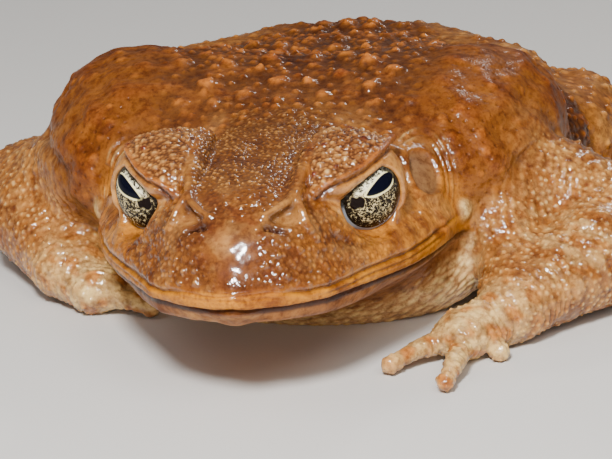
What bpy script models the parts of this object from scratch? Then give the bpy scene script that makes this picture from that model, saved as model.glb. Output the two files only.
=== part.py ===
"""A life-size giant toad at rest, crouched on its belly with its left hand put forward.

The toad faces -Y and its left is +X. Sizes here are in millimetres, and MM turns them into Blender's
metres. Each body part is fused from a few balls and tubes: they are joined and remeshed, the mesh is
drawn onto the smooth surface that blends them, and its faces are thinned out. Warts are fused to the
back and the limbs, and each part is cut clear of the part that it grows from.
"""

import math
import random
from dataclasses import dataclass

import bmesh
import bpy
import numpy as np
from mathutils import Euler, Matrix, Vector

MM = 0.001
GAP = 0.3

EYE_HEIGHT = 28.8
EYE_Y = -48.5
HEAD_PITCH = 5.0
EYE_RADIUS = 7.5
LID_THICK = 1.1
MOUTH_Z = -12.6
WART_SPACING = 9.5
WART_RADII = (1.5, 2.6)
LIMB_WART_RADII = (1.0, 1.5)

# The head's frame has its origin between the eyes. In it lie the left eye's centre, the middle of the
# opening of its lids, the upper lid's slanting edge, and the upper lip from the snout to the jaw's corner.
EYE = Vector((15.0, 0.6, 0.0))
OPENING_OUT, OPENING_UP = 36.5, -7.0
LID_EDGE = Vector((-0.647, 0.160, 0.746))
LID_RIM = ((10.6, -10.8, 1.9), (13.3, -9.6, 2.5), (16.2, -6.8, 3.7), (18.6, -1.0, 5.2), (19.4, 7.0, 6.0))
LIP_OUTLINE = ((0.0, -25.0), (7.0, -24.0), (13.0, -19.8), (18.2, -10.0),
               (22.4, -0.5), (26.8, 12.5), (30.0, 23.0))

EARDRUM_MIDDLE = Vector((22.9, 14.3, -2.4))
EARDRUM_RADII = (2.2, 4.1, 4.9)
WART_FLATNESS = 0.7
CREASE_ANGLE = 42.0

# The arms' joints. The left hand is put forward, and the right is drawn back.
LEFT_ELBOW, LEFT_SWELL, LEFT_WRIST = (56, -14, 9.5), (50, -26, 9), (38.5, -40, 5.2)
RIGHT_ELBOW, RIGHT_SWELL, RIGHT_WRIST = (-49, 2, 10.0), (-46, -9, 9.2), (-39, -23, 5.4)
LEFT_FOLD = ((33, -18, 17), (37, -28, 10), (37, -36, 6.5))
RIGHT_FOLD = ((-33, -13, 17), (-37.5, -14, 9.5), (-35, -22, 6))
SHANK_TOP, SHANK_MIDDLE = Vector((42, 30, 9.5)), Vector((42, 45, 9.0))

# Each look is a colour and a roughness.
SKIN = ((0.36, 0.17, 0.06, 1.0), 0.45)
PALE_SKIN = ((0.55, 0.34, 0.16, 1.0), 0.45)
EARDRUM = ((0.27, 0.16, 0.09, 1.0), 0.5)
IRIS = ((0.30, 0.25, 0.12, 1.0), 0.1)


@dataclass
class Ball:
    """An ellipsoid, turned by degrees about X, Y and Z."""

    centre: tuple
    radii: tuple
    turn: tuple = (0.0, 0.0, 0.0)

    def axes(self):
        return np.array(Euler([math.radians(a) for a in self.turn]).to_matrix())

    def distance(self, points):
        local = (points - np.array(self.centre)) @ self.axes()
        radii = np.array(self.radii)
        near = np.linalg.norm(local / radii, axis=1)
        steep = np.linalg.norm(local / radii**2, axis=1)
        return near * (near - 1) / np.maximum(steep, 1e-6)

    def add_to(self, mesh):
        place = Matrix.Translation(self.centre) @ Matrix(self.axes().tolist()).to_4x4()
        shape = Matrix.Diagonal((*self.radii, 1.0))
        bmesh.ops.create_uvsphere(mesh, u_segments=24, v_segments=16, radius=1.0, matrix=place @ shape)

    def mirrored(self):
        x, y, z = self.centre
        about_x, about_y, about_z = self.turn
        return Ball((-x, y, z), self.radii, (about_x, -about_y, -about_z))


@dataclass
class Tube:
    """A round tube through points, with its own radius at each."""

    points: tuple
    radii: tuple

    def distance(self, points):
        nearest = np.full(len(points), np.inf)
        for start, end, thick, thin in zip(self.points, self.points[1:], self.radii, self.radii[1:]):
            start, end = np.array(start), np.array(end)
            span = end - start
            along = np.clip((points - start) @ span / (span @ span), 0, 1)
            away = np.linalg.norm(points - start - along[:, None] * span, axis=1)
            nearest = np.minimum(nearest, away - (thick + (thin - thick) * along))
        return nearest

    def add_to(self, mesh):
        for centre, radius in zip(self.points, self.radii):
            place = Matrix.Translation(centre)
            bmesh.ops.create_uvsphere(mesh, u_segments=16, v_segments=10, radius=radius, matrix=place)
        for start, end, thick, thin in zip(self.points, self.points[1:], self.radii, self.radii[1:]):
            span = Vector(end) - Vector(start)
            turn = span.to_track_quat("Z", "Y").to_matrix().to_4x4()
            place = Matrix.Translation((Vector(start) + Vector(end)) / 2) @ turn
            bmesh.ops.create_cone(mesh, cap_ends=True, segments=16, radius1=thick, radius2=thin,
                                  depth=span.length, matrix=place)

    def mirrored(self):
        return Tube(tuple((-x, y, z) for x, y, z in self.points), self.radii)


@dataclass
class LidOpening:
    """The hollow between an eye's lids: a ball before the eye, cut off by the upper lid's edge."""

    side: int

    def distance(self, points):
        local = points * (self.side, 1, 1) - np.array(EYE)
        middle = direction(OPENING_OUT, OPENING_UP) * 8.2
        ball = Ball(tuple(middle), (5.9, 6.0, 5.9), (5, 0, OPENING_OUT)).distance(local)
        return np.maximum(ball, local @ np.array(LID_EDGE) + 0.75)


@dataclass
class Body:
    """What one node is fused from: forms with a blend, hollows with a blend, and a cutting plane."""

    forms: list
    blend: float = 4.0
    details: tuple = ()
    detail_blend: float = 1.5
    hollows: tuple = ()
    hollow_blend: float = 1.5
    above: float = None
    below: float = None
    edge: float = 1.6

    def distance(self, points):
        surface = self.forms[0].distance(points)
        for form in self.forms[1:]:
            surface = joined(surface, form.distance(points), self.blend)
        for form in self.details:
            surface = joined(surface, form.distance(points), self.detail_blend)
        for form in self.hollows:
            surface = -joined(-surface, form.distance(points), self.hollow_blend)
        if self.above is not None:
            surface = -joined(-surface, points[:, 2] - self.above, self.edge)
        if self.below is not None:
            surface = -joined(-surface, self.below - points[:, 2], self.edge)
        return surface


def joined(first, second, blend):
    """The smooth lesser of two distances."""
    share = np.clip(0.5 + 0.5 * (second - first) / blend, 0, 1)
    return second * (1 - share) + first * share - blend * share * (1 - share)


def both(*forms):
    """Each form with its mirror image across the toad's middle."""
    return [side for form in forms for side in (form, form.mirrored())]


def evaluated_mesh(obj):
    graph = bpy.context.evaluated_depsgraph_get()
    return bpy.data.meshes.new_from_object(obj.evaluated_get(graph))


def apply_modifier(obj, kind, **settings):
    modifier = obj.modifiers.new(kind.title(), kind)
    for setting, value in settings.items():
        setattr(modifier, setting, value)
    mesh = evaluated_mesh(obj)
    obj.modifiers.clear()
    obj.data = mesh


def vertex_array(mesh):
    found = np.empty(len(mesh.vertices) * 3)
    mesh.vertices.foreach_get("co", found)
    return found.reshape(-1, 3)


def set_vertices(mesh, points):
    mesh.vertices.foreach_set("co", points.ravel())
    mesh.update()


def draw_onto(distance, points, steps=7, step=0.02):
    """Points moved along the distance's slope until they lie on its surface."""
    for _ in range(steps):
        here = distance(points)
        slope = np.stack([distance(points + step * axis) - here for axis in np.eye(3)], axis=1) / step
        steep = np.maximum((slope**2).sum(1), 0.2)
        points = points - np.clip(here / steep, -1.5, 1.5)[:, None] * slope
    return points


def material(name, colour, roughness):
    made = bpy.data.materials.new(name)
    made.use_nodes = True
    shader = made.node_tree.nodes["Principled BSDF"]
    shader.inputs["Base Color"].default_value = colour
    shader.inputs["Roughness"].default_value = roughness
    shader.inputs["Metallic"].default_value = 0.0
    made.diffuse_color = colour
    return made


def grow(name, body, faces, voxel, look, frame=Matrix.Identity(4)):
    """One closed object from a body's forms, with about this many triangles, none of it below the floor."""
    start = bmesh.new()
    for form in [*body.forms, *body.details]:
        form.add_to(start)
    mesh = bpy.data.meshes.new(name)
    start.to_mesh(mesh)
    start.free()
    obj = bpy.data.objects.new(name, mesh)
    PARTS.objects.link(obj)
    apply_modifier(obj, "REMESH", mode="VOXEL", voxel_size=voxel)
    set_vertices(obj.data, draw_onto(body.distance, vertex_array(obj.data)))
    obj.data.transform(frame)
    points = vertex_array(obj.data)
    points[:, 2] = np.maximum(points[:, 2], 0.0)
    set_vertices(obj.data, points)
    many = sum(len(face.vertices) - 2 for face in obj.data.polygons)
    apply_modifier(obj, "DECIMATE", ratio=min(1.0, faces / many))
    obj.data.transform(Matrix.Scale(MM, 4))
    obj.data.name = name
    obj.data.materials.clear()
    obj.data.materials.append(material(name, *look))
    return obj


def swollen(obj, by=GAP):
    """A cutter: this object's shape, larger all round by the gap."""
    cutter = bpy.data.objects.new(obj.name + "_cutter", obj.data.copy())
    normals = np.array([vertex.normal for vertex in cutter.data.vertices])
    set_vertices(cutter.data, vertex_array(cutter.data) + normals * by * MM)
    cutter.hide_render = True
    cutter.display_type = "WIRE"
    CUTTERS.objects.link(cutter)
    return cutter


def keep_largest(obj):
    """Drops all but the largest closed surface of the object."""
    mesh = bmesh.new()
    mesh.from_mesh(obj.data)
    left = set(mesh.verts)
    groups = []
    while left:
        group, edge = set(), [left.pop()]
        while edge:
            vertex = edge.pop()
            group.add(vertex)
            near = {link.other_vert(vertex) for link in vertex.link_edges} & left
            left -= near
            edge.extend(near)
        groups.append(group)
    groups.sort(key=len)
    for group in groups[:-1]:
        bmesh.ops.delete(mesh, geom=list(group), context="VERTS")
    mesh.to_mesh(obj.data)
    mesh.free()


def cut_clear(obj, *cutters):
    for cutter in cutters:
        apply_modifier(obj, "BOOLEAN", operation="DIFFERENCE", solver="MANIFOLD", object=cutter)
    keep_largest(obj)


def collection(name, hidden=False):
    made = bpy.data.collections.new(name)
    made.hide_render = hidden
    bpy.context.scene.collection.children.link(made)
    return made


def direction(out, up):
    """A unit vector this many degrees outwards from straight ahead on the left, and this many up."""
    out, up = math.radians(out), math.radians(up)
    return Vector((math.sin(out) * math.cos(up), -math.cos(out) * math.cos(up), math.sin(up)))


def head_body():
    """The cranium, the snout, the cheeks, the lids and the upper jaw, above the line of the mouth."""
    lip = tuple((x * 0.94, y + 1.6, MOUTH_Z + 1.7) for x, y in LIP_OUTLINE)
    forms = [
        Ball((0, 6, -5.5), (19.5, 25, 11.6)),
        Ball((0, -11.0, -6.8), (13.8, 13.6, 9.2)),
        *both(Ball((13.5, 8, -9.5), (13.0, 21, 7.0), (0, 0, -15))),
        *both(Ball((18.5, 20, -6.0), (8.5, 12, 8.5))),
        Ball((0, 27, -5.0), (25, 15, 11.0)),
        *both(Tube(lip, (2.0,) * len(lip))),
    ]
    lids = both(
        Ball(tuple(EYE + Vector((0, 0, -0.2))), (EYE_RADIUS + LID_THICK,) * 3),
        Ball((13.9, 0.5, 3.5), (6.6, 11.0, 3.9), (4, 14, -8)),
        Tube(LID_RIM, (0.6, 0.8, 0.9, 0.8, 0.6)),
    )
    crests = both(
        Tube(((9.4, 9, 5.8), (9.0, -2, 5.6), (8.2, -11.5, 3.1), (6.0, -17.6, 1.2), (3.2, -21, 0.0)),
             (1.2, 1.3, 1.3, 1.1, 0.8)),
        Tube(((8.1, -12.6, 2.4), (9.7, -14.3, -0.2), (11.0, -15.4, -2.6)), (1.1, 1.1, 0.7)),
        Tube(((9.4, 9, 5.4), (15.0, 12.2, 4.4), (20.5, 12.5, 2.0), (21.8, 10.5, -2.0)),
             (1.1, 1.1, 1.1, 0.8)),
    )
    hollows = [
        Ball((0, -2.0, 12.2), (7.6, 17, 7.2)),
        LidOpening(1),
        LidOpening(-1),
        *both(Ball((7.2, -18.3, 1.5), (2.0, 3.0, 1.8), (30, 0, 25))),
        *both(Ball((5.9, -21.7, -1.6), (1.3, 1.2, 0.7), (0, 0, 20))),
    ]
    return Body(forms, 5.0, (*lids, *crests), 1.4, hollows, 0.8, above=MOUTH_Z + GAP / 2, edge=1.4)


def jaw_body():
    """The lower jaw and the throat, below the line of the mouth."""
    rim = tuple((x * 0.91, y + 2.4, MOUTH_Z - 1.3) for x, y in LIP_OUTLINE)
    forms = [
        Ball((0, 2, -13.4), (20.0, 24.0, 5.2)),
        Ball((0, 17, -14.5), (24.5, 19, 8.5)),
        *both(Tube(rim, (1.7,) * len(rim))),
    ]
    return Body(forms, 4.0, below=MOUTH_Z - GAP / 2, edge=1.2)


def trunk_body():
    """The chest, the belly and the rump, flat where they lie on the floor."""
    forms = [
        Ball((0, -25, 8), (33, 17, 12)),
        Ball((0, -8, 18), (35.5, 25, 18)),
        Ball((0, 16, 15.0), (46, 32, 15.0)),
        Ball((0, 37, 12.0), (34, 28, 12.0)),
        Ball((0, 55, 11.5), (23, 20, 11.5)),
        *both(Ball((20, -6, 23.5), (17.5, 22, 12.5))),
        *both(Ball((12, 31, 14), (10, 23, 9.0), (-11, 0, -6))),
    ]
    return Body(forms, 7.0)


def parotoid_body():
    """The big left gland behind the eardrum."""
    forms = [
        Ball((30.5, -8, 25.5), (13.5, 19, 10), (4, 40, -10)),
        Ball((27.5, -19, 23.5), (11, 11, 8.5), (0, 35, -20)),
        Ball((33, 2, 24.5), (11, 13, 8), (0, 38, -6)),
    ]
    return Body(forms, 5.0)


def arm_bodies(shoulder, elbow, swell, wrist, fold):
    """An upper arm with the fold of loose skin that joins it to the chest, and a forearm."""
    loose_skin = Tube(fold, (8.0, 5.8, 4.4))
    upper = Body([Tube((shoulder, elbow), (10.5, 7.8)), Ball(elbow, (8.2, 8.2, 8.0)), loose_skin])
    fore = Body([Tube((elbow, swell, wrist), (7.6, 8.3, 4.6))])
    return upper, fore


def hand_body(wrist, palm, fingers):
    """A hand: its palm and its fingers, each a base and a tip."""
    forms = [Tube((wrist, palm), (4.2, 4.0)), Ball(palm, (4.8, 4.8, 3.4))]
    toes = [Tube((base, tip), (1.9, 1.5)) for base, tip in fingers]
    tips = [Ball(tip, (1.6, 1.6, 1.5)) for base, tip in fingers]
    return Body([*forms, *toes, *tips], 2.0)


def leg_bodies():
    """The left hind leg, folded along the flank: thigh, shank and foot."""
    hip, knee, ankle, sole = (14, 57, 12), (40, 31, 10), (32, 66, 6.5), (50, 46, 4)
    thigh = Body([Tube((hip, (28, 43, 12), knee), (10.5, 11.5, 8.5))])
    shank = Body([Tube((SHANK_TOP, SHANK_MIDDLE, ankle), (8.2, 8.8, 5.2))])
    tips = ((49, 33), (52, 26), (57, 19), (65, 17), (65, 31))
    toes = [Tube((sole, (x, y, 1.7)), (2.8, 1.5)) for x, y in tips]
    web = Ball((54, 36, 2.2), (8, 10, 1.6), (0, 0, -20))
    foot = Body([Tube((ankle, sole), (4.8, 4.2)), *toes, web], 2.5)
    return thigh, shank, foot


def on_side(body, sign):
    """A left body as it is, or its mirror image for the right."""
    if sign > 0:
        return body
    return Body([form.mirrored() for form in body.forms], body.blend)


def hands():
    """Both hands, each with four fingers: the left is put forward and the right is turned in."""
    left = hand_body(LEFT_WRIST, (31, -46.5, 3.8), (
        ((29, -43.5, 3.2), (28.5, -38, 1.6)),
        ((27.5, -47.5, 3.0), (20.2, -54.3, 1.6)),
        ((31.5, -49, 3.0), (29.7, -61, 1.6)),
        ((34.5, -46.5, 3.0), (37.5, -49.5, 1.6)),
    ))
    right = hand_body(RIGHT_WRIST, (-32, -28.0, 3.8), (
        ((-29, -25.5, 2.8), (-23.5, -21.0, 1.6)),
        ((-28.5, -27.5, 2.8), (-21.8, -25.9, 1.6)),
        ((-29.5, -29.8, 3.0), (-22.3, -31.2, 1.7)),
        ((-35.5, -25.0, 3.4), (-36.7, -28.0, 3.4)),
    ))
    return {"left": left, "right": right}


def spread(draw, low, high, spacing, tries=600):
    """Chance spots in a flat area between two corners, none nearer than the spacing to another."""
    spots = []
    for _ in range(tries):
        spot = Vector((draw.uniform(low[0], high[0]), draw.uniform(low[1], high[1]), high[2]))
        if all((spot - other).length > spacing for other in spots):
            spots.append(spot)
    return spots


def back_warts(draw):
    """Spots on the back, clear of the glands and the thighs."""
    neighbours = [on_side(body, sign) for body in (parotoid_body(), leg_bodies()[0]) for _, sign in SIDES]
    trunk = trunk_body()
    spots = []
    for spot in spread(draw, (-27, -17), (27, 62, 30), WART_SPACING):
        place = draw_onto(trunk.distance, np.array([spot]))
        clear = min(body.distance(place)[0] for body in neighbours)
        if clear > WART_RADII[1] + 2 * GAP:
            spots.append(Vector(place[0]))
    return spots


def limb_warts(draw, start, end, radius, count):
    """Spots along the top and the outer side of a limb's stretch."""
    start, end = Vector(start), Vector(end)
    outward = Vector((math.copysign(1, start.x), 0, 0))
    spots = []
    for index in range(count):
        along = start.lerp(end, (index + 0.5) / (count + 1))
        turn = math.radians(draw.uniform(20, 100))
        spots.append(along + radius * (outward * math.cos(turn) + Vector((0, 0, 1)) * math.sin(turn)))
    return spots


def strew(obj, spots, draw, radii):
    """Fuses a low round wart to the object at each spot, with its root sunk into the skin."""
    warts = collection(obj.name + "_warts", hidden=True)
    for spot in spots:
        _, place, normal, _ = obj.closest_point_on_mesh(spot * MM)
        radius = draw.uniform(*radii) * MM
        turn = normal.to_track_quat("Z", "Y").to_matrix().to_4x4()
        shape = Matrix.Diagonal((radius, radius, WART_FLATNESS * radius, 1))
        dome = bmesh.new()
        bmesh.ops.create_uvsphere(dome, u_segments=7, v_segments=4, radius=1.0,
                                  matrix=Matrix.Translation(place) @ turn @ shape)
        mesh = bpy.data.meshes.new("wart")
        dome.to_mesh(mesh)
        dome.free()
        warts.objects.link(bpy.data.objects.new("wart", mesh))
    apply_modifier(obj, "BOOLEAN", operation="UNION", solver="MANIFOLD",
                   operand_type="COLLECTION", collection=warts)
    for wart in list(warts.objects):
        bpy.data.objects.remove(wart)
    bpy.data.collections.remove(warts)
    keep_largest(obj)


for old in list(bpy.data.objects):
    bpy.data.objects.remove(old)

HEAD_FRAME = Matrix.Translation((0, EYE_Y, EYE_HEIGHT)) @ Matrix.Rotation(-math.radians(HEAD_PITCH), 4, "X")
PARTS = collection("giant_toad")
CUTTERS = collection("cutters", hidden=True)
SIDES = (("left", 1), ("right", -1))


def main():
    draw = random.Random(7)
    trunk = grow("trunk", trunk_body(), 1900, 1.5, SKIN)
    around_trunk = swollen(trunk)
    strew(trunk, back_warts(draw), draw, WART_RADII)
    head = grow("head", head_body(), 3600, 0.7, SKIN, HEAD_FRAME)
    jaw = grow("lower_jaw", jaw_body(), 650, 1.0, PALE_SKIN, HEAD_FRAME)
    cut_clear(head, around_trunk)
    cut_clear(jaw, around_trunk)
    around_head, around_jaw = swollen(head), swollen(jaw)

    arms = {
        "left": arm_bodies((33, -13, 19), LEFT_ELBOW, LEFT_SWELL, LEFT_WRIST, LEFT_FOLD),
        "right": arm_bodies((-33, -11, 19), RIGHT_ELBOW, RIGHT_SWELL, RIGHT_WRIST, RIGHT_FOLD),
    }
    swells = {"left": (LEFT_SWELL, LEFT_WRIST), "right": (RIGHT_SWELL, RIGHT_WRIST)}
    for side, sign in SIDES:
        mirror = Matrix.Diagonal((sign, 1, 1))
        ball = Ball(tuple(mirror @ EYE), (EYE_RADIUS,) * 3)
        eye = grow("eye_" + side, Body([ball], below=5.0), 380, 0.6, IRIS, HEAD_FRAME)
        drum = Ball(tuple(mirror @ EARDRUM_MIDDLE), EARDRUM_RADII, (0, 0, -14 * sign))
        tympanum = grow("tympanum_" + side, Body([drum]), 140, 0.6, EARDRUM, HEAD_FRAME)
        cut_clear(head, swollen(eye), swollen(tympanum))
        gland = grow("parotoid_" + side, on_side(parotoid_body(), sign), 420, 1.2, SKIN)
        cut_clear(gland, around_trunk, around_head)
        around_gland = swollen(gland)
        upper_body, fore_body = arms[side]
        upper = grow("upper_arm_" + side, upper_body, 300, 1.2, SKIN)
        fore = grow("forearm_" + side, fore_body, 330, 1.2, PALE_SKIN)
        around_upper, around_fore = swollen(upper), swollen(fore)
        strew(fore, limb_warts(draw, *swells[side], 8, 5), draw, LIMB_WART_RADII)
        hand = grow("hand_" + side, hands()[side], 500, 0.7, PALE_SKIN)
        cut_clear(upper, around_trunk, around_gland, around_head, around_jaw)
        cut_clear(fore, around_upper, around_trunk, around_gland)
        cut_clear(hand, around_fore, around_trunk, around_upper)
        thigh_body, shank_body, foot_body = (on_side(body, sign) for body in leg_bodies())
        thigh = grow("thigh_" + side, thigh_body, 300, 1.2, SKIN)
        shank = grow("shank_" + side, shank_body, 300, 1.2, SKIN)
        around_thigh, around_shank = swollen(thigh), swollen(shank)
        shank_spots = limb_warts(draw, mirror @ SHANK_TOP, mirror @ SHANK_MIDDLE, 9, 5)
        strew(shank, shank_spots, draw, LIMB_WART_RADII)
        foot = grow("foot_" + side, foot_body, 430, 0.7, PALE_SKIN)
        cut_clear(thigh, around_trunk)
        cut_clear(shank, around_thigh, around_trunk)
        cut_clear(foot, around_shank, around_thigh, around_trunk)

    parts = list(PARTS.objects)
    corners = np.concatenate([vertex_array(part.data) for part in parts])
    middle = Vector((corners.min(0) + corners.max(0)) / 2)
    toad = bpy.data.objects.new("toad", None)
    toad.location = (-middle.x, -middle.y, 0)
    PARTS.objects.link(toad)
    for part in parts:
        corners = vertex_array(part.data)
        centre = Vector((corners.min(0) + corners.max(0)) / 2)
        part.data.transform(Matrix.Translation(-centre))
        part.data.shade_smooth()
        part.data.set_sharp_from_angle(angle=math.radians(CREASE_ANGLE))
        part.location = centre
        part.parent = toad


main()
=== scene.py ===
"""The giant toad's looks: one skin over the solids' flesh, two wet eyes, soft studio light."""

import math
import random
from dataclasses import dataclass

import bmesh
import bpy
import numpy as np
from mathutils import Euler, Matrix, Vector
from mathutils.kdtree import KDTree


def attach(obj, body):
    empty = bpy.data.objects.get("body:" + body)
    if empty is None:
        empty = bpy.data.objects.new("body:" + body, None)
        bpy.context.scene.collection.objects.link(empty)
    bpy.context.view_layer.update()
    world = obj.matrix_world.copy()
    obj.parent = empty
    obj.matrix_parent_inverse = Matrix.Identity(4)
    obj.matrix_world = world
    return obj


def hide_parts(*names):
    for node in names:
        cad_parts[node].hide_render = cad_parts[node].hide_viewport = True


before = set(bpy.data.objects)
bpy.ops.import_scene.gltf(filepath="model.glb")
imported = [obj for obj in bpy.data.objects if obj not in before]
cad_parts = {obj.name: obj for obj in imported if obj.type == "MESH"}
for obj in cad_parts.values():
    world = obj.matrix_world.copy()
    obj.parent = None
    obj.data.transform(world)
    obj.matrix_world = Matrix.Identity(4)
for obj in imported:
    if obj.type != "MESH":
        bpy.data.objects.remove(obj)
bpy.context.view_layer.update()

# Lengths below are in millimetres, in the toad's own frame: it faces -Y, and its left is +X.
MM = 0.001
# From the toad's frame to the part's, whose origin is below the middle of the outline.
SHIFT = np.array((-0.11, 0.653, 0.0))
EYES_MIDDLE = np.array((0.0, -48.5, 28.8))
PITCH_COS, PITCH_SIN = math.cos(math.radians(5.0)), math.sin(math.radians(5.0))
EYE = np.array((15.0, 0.6, 0.0))
EYE_RADIUS = 7.5
MOUTH_Z = -12.6
# The first grid's spacing and box; its faces are split twice, to 0.2 mm on the head and the arms.
STEP = 0.8
GRID_LOW, GRID_HIGH = (-72, -80, -1.6), (72, 80, 42)
# How far round a body its exact distance is worked out.
NEAR = 9.0
LIP_OUTLINE = ((0.0, -25.0), (7.0, -24.0), (13.0, -19.8), (18.2, -10.0),
               (22.4, -0.5), (26.8, 12.5), (30.0, 23.0))


@dataclass
class Ball:
    """An ellipsoid, turned by degrees about X, Y and Z."""

    centre: tuple
    radii: tuple
    turn: tuple = (0.0, 0.0, 0.0)

    def distance(self, points):
        axes = np.array(Euler([math.radians(a) for a in self.turn]).to_matrix())
        local = (points - np.array(self.centre)) @ axes
        radii = np.array(self.radii)
        near = lengths(local / radii)
        steep = lengths(local / radii**2)
        return near * (near - 1) / np.maximum(steep, 1e-6)

    def reach(self):
        return np.array([self.centre]), max(self.radii)

    def mirrored(self):
        x, y, z = self.centre
        about_x, about_y, about_z = self.turn
        return Ball((-x, y, z), self.radii, (about_x, -about_y, -about_z))


@dataclass
class Tube:
    """A round tube through points, with its own radius at each."""

    points: tuple
    radii: tuple

    def distance(self, points):
        nearest = np.full(len(points), np.inf)
        for start, end, thick, thin in zip(self.points, self.points[1:], self.radii, self.radii[1:]):
            start, end = np.array(start), np.array(end)
            span = end - start
            along = np.clip((points - start) @ span / (span @ span), 0, 1)
            away = lengths(points - start - along[:, None] * span)
            nearest = np.minimum(nearest, away - (thick + (thin - thick) * along))
        return nearest

    def reach(self):
        return np.array(self.points), max(self.radii)

    def mirrored(self):
        return Tube(tuple((-x, y, z) for x, y, z in self.points), self.radii)


@dataclass
class EyeOpening:
    """The hollow between the lids: a ball in front of the eye, cut off by the upper lid's edge."""

    side: int

    def distance(self, points):
        local = points * (self.side, 1, 1) - EYE
        away = Ball(tuple(OPENING_AXIS * 8.2), (5.9, 6.0, 5.9), (5, 0, OPENING_OUT)).distance(local)
        return np.maximum(away, local @ LID_EDGE + 0.75)


def lengths(vectors):
    return np.linalg.norm(vectors, axis=1)


def bell(value, width, power=2):
    """1 at 0, falling off smoothly to both sides."""
    return np.exp(-((value / width) ** power))


def joined(first, second, blend):
    """The smooth lesser of two distances."""
    share = np.clip(0.5 + 0.5 * (second - first) / blend, 0, 1)
    return second * (1 - share) + first * share - blend * share * (1 - share)


def both(*forms):
    return [side for form in forms for side in (form, form.mirrored())]


def direction(out, up):
    out, up = math.radians(out), math.radians(up)
    return np.array((math.sin(out) * math.cos(up), -math.cos(out) * math.cos(up), math.sin(up)))


OPENING_OUT = 36.5
OPENING_AXIS = direction(OPENING_OUT, -7)
LID_EDGE = np.array((-0.647, 0.160, 0.746))
GAZE = direction(38, 10.5)
# Each eye's pupil, left (1) and right (-1): how far its middle lies behind the gaze, and its half-length.
PUPILS = {1: (0.75, 2.95), -1: (0.15, 3.30)}
PUPIL_HEIGHT = 1.05


class Body:
    """Forms and finer details fused, each by their own blend, with hollows taken out and ridges laid on."""

    def __init__(self, forms, blend=4.0, details=(), detail_blend=1.5,
                 hollows=(), hollow_blend=1.0, ridges=()):
        self.forms, self.blend = forms, blend
        self.details, self.detail_blend = details, detail_blend
        self.hollows, self.hollow_blend = hollows, hollow_blend
        self.ridges = ridges
        reaches = [form.reach() for form in [*forms, *details, *ridges]]
        corners = np.concatenate([np.concatenate([c - r, c + r]) for c, r in reaches])
        self.middle = (corners.min(0) + corners.max(0)) / 2
        self.size = (corners.max(0) - corners.min(0)) / 2

    def exact(self, points):
        surface = self.forms[0].distance(points)
        for form in self.forms[1:]:
            surface = joined(surface, form.distance(points), self.blend)
        for form in self.details:
            surface = joined(surface, form.distance(points), self.detail_blend)
        for form in self.hollows:
            surface = -joined(-surface, form.distance(points), self.hollow_blend)
        for form in self.ridges:
            surface = joined(surface, form.distance(points), self.hollow_blend)
        return surface

    def distance(self, points):
        """The exact distance near the body, and that to its box farther off."""
        rough = (np.abs(points - self.middle) - self.size).max(1)
        near = rough < NEAR
        rough[near] = self.exact(points[near])
        return rough


def head_body():
    lip = tuple((x * 0.94, y + 1.6, MOUTH_Z + 1.7) for x, y in LIP_OUTLINE)
    forms = [
        Ball((0, 6, -5.5), (19.5, 25, 11.6)),
        Ball((0, -11.0, -6.8), (13.8, 13.6, 9.2)),
        *both(Ball((13.5, 8, -9.5), (13.0, 21, 7.0), (0, 0, -15))),
        *both(Ball((18.5, 20, -6.0), (8.5, 12, 8.5))),
        Ball((0, 27, -5.0), (25, 15, 11.0)),
        *both(Tube(lip, (2.0,) * len(lip))),
    ]
    lids = both(
        Ball(tuple(EYE + (0, 0, -0.2)), (EYE_RADIUS + 0.75,) * 3),
        Ball((13.9, 0.5, 3.5), (6.6, 11.0, 3.9), (4, 14, -8)),
    )
    rims = both(
        Tube(((10.6, -10.8, 1.7), (13.3, -9.3, 2.3), (16.0, -6.4, 3.4),
              (18.4, -1.0, 4.8), (19.6, 7.5, 5.4)), (0.6, 0.8, 0.85, 0.8, 0.6)),
        Tube(((9.4, 9, 5.8), (9.0, -2, 5.6), (8.3, -9, 3.9), (8.0, -13.6, 1.7)), (1.2, 1.3, 1.2, 0.95)),
        Tube(((9.4, 9, 5.4), (15.0, 12.2, 4.4), (20.5, 12.5, 2.0), (21.8, 10.5, -2.0)),
             (1.1, 1.1, 1.1, 0.8)),
    )
    ridges = both(
        Tube(((8.0, -14.1, 1.6), (7.0, -15.7, 1.3), (6.1, -17.1, 0.9),
              (5.1, -18.2, 0.5), (4.0, -18.9, 0.1)), (0.95, 0.85, 0.8, 0.7, 0.5)),
        Tube(((8.0, -14.1, 1.6), (8.8, -15.0, 0.8), (9.3, -15.8, 0.0),
              (9.9, -16.5, -1.0), (10.7, -16.7, -2.2)), (0.95, 0.9, 0.85, 0.7, 0.45)),
    )
    hollows = [
        Ball((0, -2.0, 12.2), (7.6, 17, 7.2)),
        EyeOpening(1),
        EyeOpening(-1),
        *both(Ball((7.6, -18.5, 2.2), (3.2, 3.2, 3.2))),
    ]
    return Body(forms, 5.0, (*lids, *rims), 1.4, hollows, 0.7, ridges)


def jaw_body():
    rim = tuple((x * 0.92, y + 2.5, MOUTH_Z - 0.8) for x, y in LIP_OUTLINE)
    forms = [
        Ball((0, 2, -13.4), (20.0, 24.0, 5.2)),
        Ball((0, 17, -14.5), (24.5, 19, 8.5)),
        *both(Tube(rim, (1.3,) * len(rim))),
    ]
    return Body(forms, 2.4)


def arm_body(shoulder, elbow, swell, wrist, fold):
    """An arm through its joints, with the fold of loose skin that joins it to the chest."""
    return Body([
        Tube((shoulder, elbow), (10.5, 7.8)),
        Ball(elbow, (8.2, 8.2, 8.0)),
        Tube((elbow, swell, wrist), (7.6, 8.3, 4.6)),
        Tube(fold, (8.0, 5.8, 4.4)),
    ], 4.0)


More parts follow.
